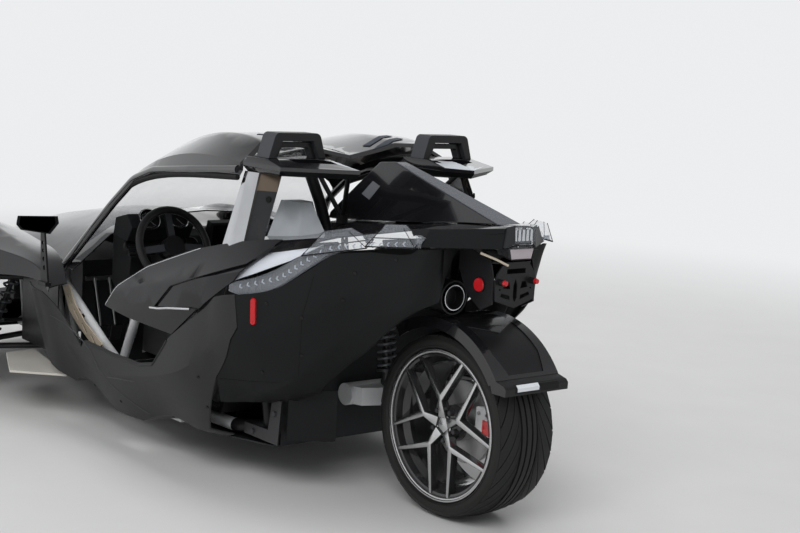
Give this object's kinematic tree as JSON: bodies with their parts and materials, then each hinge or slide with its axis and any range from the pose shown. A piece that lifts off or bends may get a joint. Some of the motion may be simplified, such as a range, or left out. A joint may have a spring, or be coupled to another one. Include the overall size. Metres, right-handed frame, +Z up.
{
  "type": "three wheeled open roadster",
  "caption": "Open two-seat roadster with two steered front wheels, one driven rear wheel, roll hoops with wings, a roof and a tail fin.",
  "frame": {"origin": "on the ground, midway along the length and on the centre plane", "axes": "+X forwards to the nose, +Y to the car's left, +Z up"},
  "size_m": [3.8, 1.978, 1.3179],
  "materials": {
    "gloss_black": "gloss lacquer",
    "matte_black": "fine grained",
    "satin_black": "satin",
    "frame_white": "powder coat",
    "cast_silver": "cast and painted",
    "machined": "machined faces with black pockets",
    "brake_steel": "ground",
    "tyre_rubber": "moulded",
    "belt_rubber": "matte",
    "seat_cover": "black hide",
    "clear_lens": "clear moulding",
    "screen_glass": "clear sheet",
    "strip_tan": "fine grained",
    "pale_silver": "silver lacquer",
    "engine_metal": "cast"
  },
  "bodies": {
    "body": {"front_arms": "satin_black", "dampers": "satin_black", "swingarm": "cast_silver", "drive_belt": "belt_rubber", "angle_drive": "engine_metal", "exhaust": "satin_black", "frame_rails": "frame_white", "frame_cross_tubes": "frame_white", "tub_plates": "satin_black", "engine": "engine_metal", "hood": "gloss_black", "nose": "satin_black", "headlamps": "clear_lens", "front_fenders": "gloss_black", "inner_side_panels": "matte_black", "windscreen": "screen_glass", "mirrors": "gloss_black", "dashboard": "matte_black", "steering_column": "satin_black", "pedals": "brake_steel", "centre_console": "matte_black", "seats": "seat_cover", "side_pods": "matte_black", "kick_strips": "strip_tan", "side_blades": "gloss_black", "rear_quarters": "matte_black", "shoulder_lamps": "clear_lens", "rear_deck": "gloss_black", "rear_fin": "gloss_black", "headrest_humps": "pale_silver", "roll_hoops": "satin_black", "hoop_wings": "gloss_black", "hoop_posts": "gloss_black", "roof": "gloss_black", "tail_lamp": "clear_lens", "plate_bracket": "satin_black", "rear_fender": "gloss_black"},
    "rear_wheel": {"rear_tyre": "tyre_rubber", "rear_rim": "machined", "rear_hub": "brake_steel"},
    "left_knuckle": {"front_left_knuckle": "cast_silver"},
    "left_wheel": {"front_left_tyre": "tyre_rubber", "front_left_rim": "machined", "front_left_disc": "brake_steel"},
    "right_knuckle": {"front_right_knuckle": "cast_silver"},
    "right_wheel": {"front_right_tyre": "tyre_rubber", "front_right_rim": "machined", "front_right_disc": "brake_steel"},
    "rack": {"tie_rods": "satin_black"},
    "steering": {"steering_wheel": "satin_black"}
  },
  "joints": [
    {"name": "left_steer", "type": "hinge", "parent": "body", "child": "left_knuckle", "pos_m": [1.117, 0.8065, 0.33], "axis": [0, 0, 1], "range_deg": [-32, 32]},
    {"name": "right_steer", "type": "hinge", "parent": "body", "child": "right_knuckle", "pos_m": [1.117, -0.8065, 0.33], "axis": [0, 0, 1], "range_deg": [-32, 32]},
    {"name": "rack_slide", "type": "slide", "parent": "body", "child": "rack", "axis": [0, 1, 0], "range_m": [-0.0556, 0.0556]},
    {"name": "steering_wheel_turn", "type": "hinge", "parent": "body", "child": "steering", "pos_m": [-0.08, 0.335, 0.78], "axis": [-0.9135, 0, 0.4067], "range_deg": [-436, 436]},
    {"name": "rear_wheel_spin", "type": "hinge", "parent": "body", "child": "rear_wheel", "pos_m": [-1.55, 0, 0.3335], "axis": [0, 1, 0], "continuous": true},
    {"name": "left_wheel_spin", "type": "hinge", "parent": "left_knuckle", "child": "left_wheel", "pos_m": [1.117, 0.8765, 0.33], "axis": [0, 1, 0], "continuous": true},
    {"name": "right_wheel_spin", "type": "hinge", "parent": "right_knuckle", "child": "right_wheel", "pos_m": [1.117, -0.8765, 0.33], "axis": [0, 1, 0], "continuous": true}
  ],
  "couplings": [
    {"joint": "right_steer", "follows": "left_steer", "ratio": 1},
    {"joint": "rack_slide", "follows": "left_steer", "m_per_rad": 0.099},
    {"joint": "steering_wheel_turn", "follows": "left_steer", "ratio": 13.6}
  ]
}
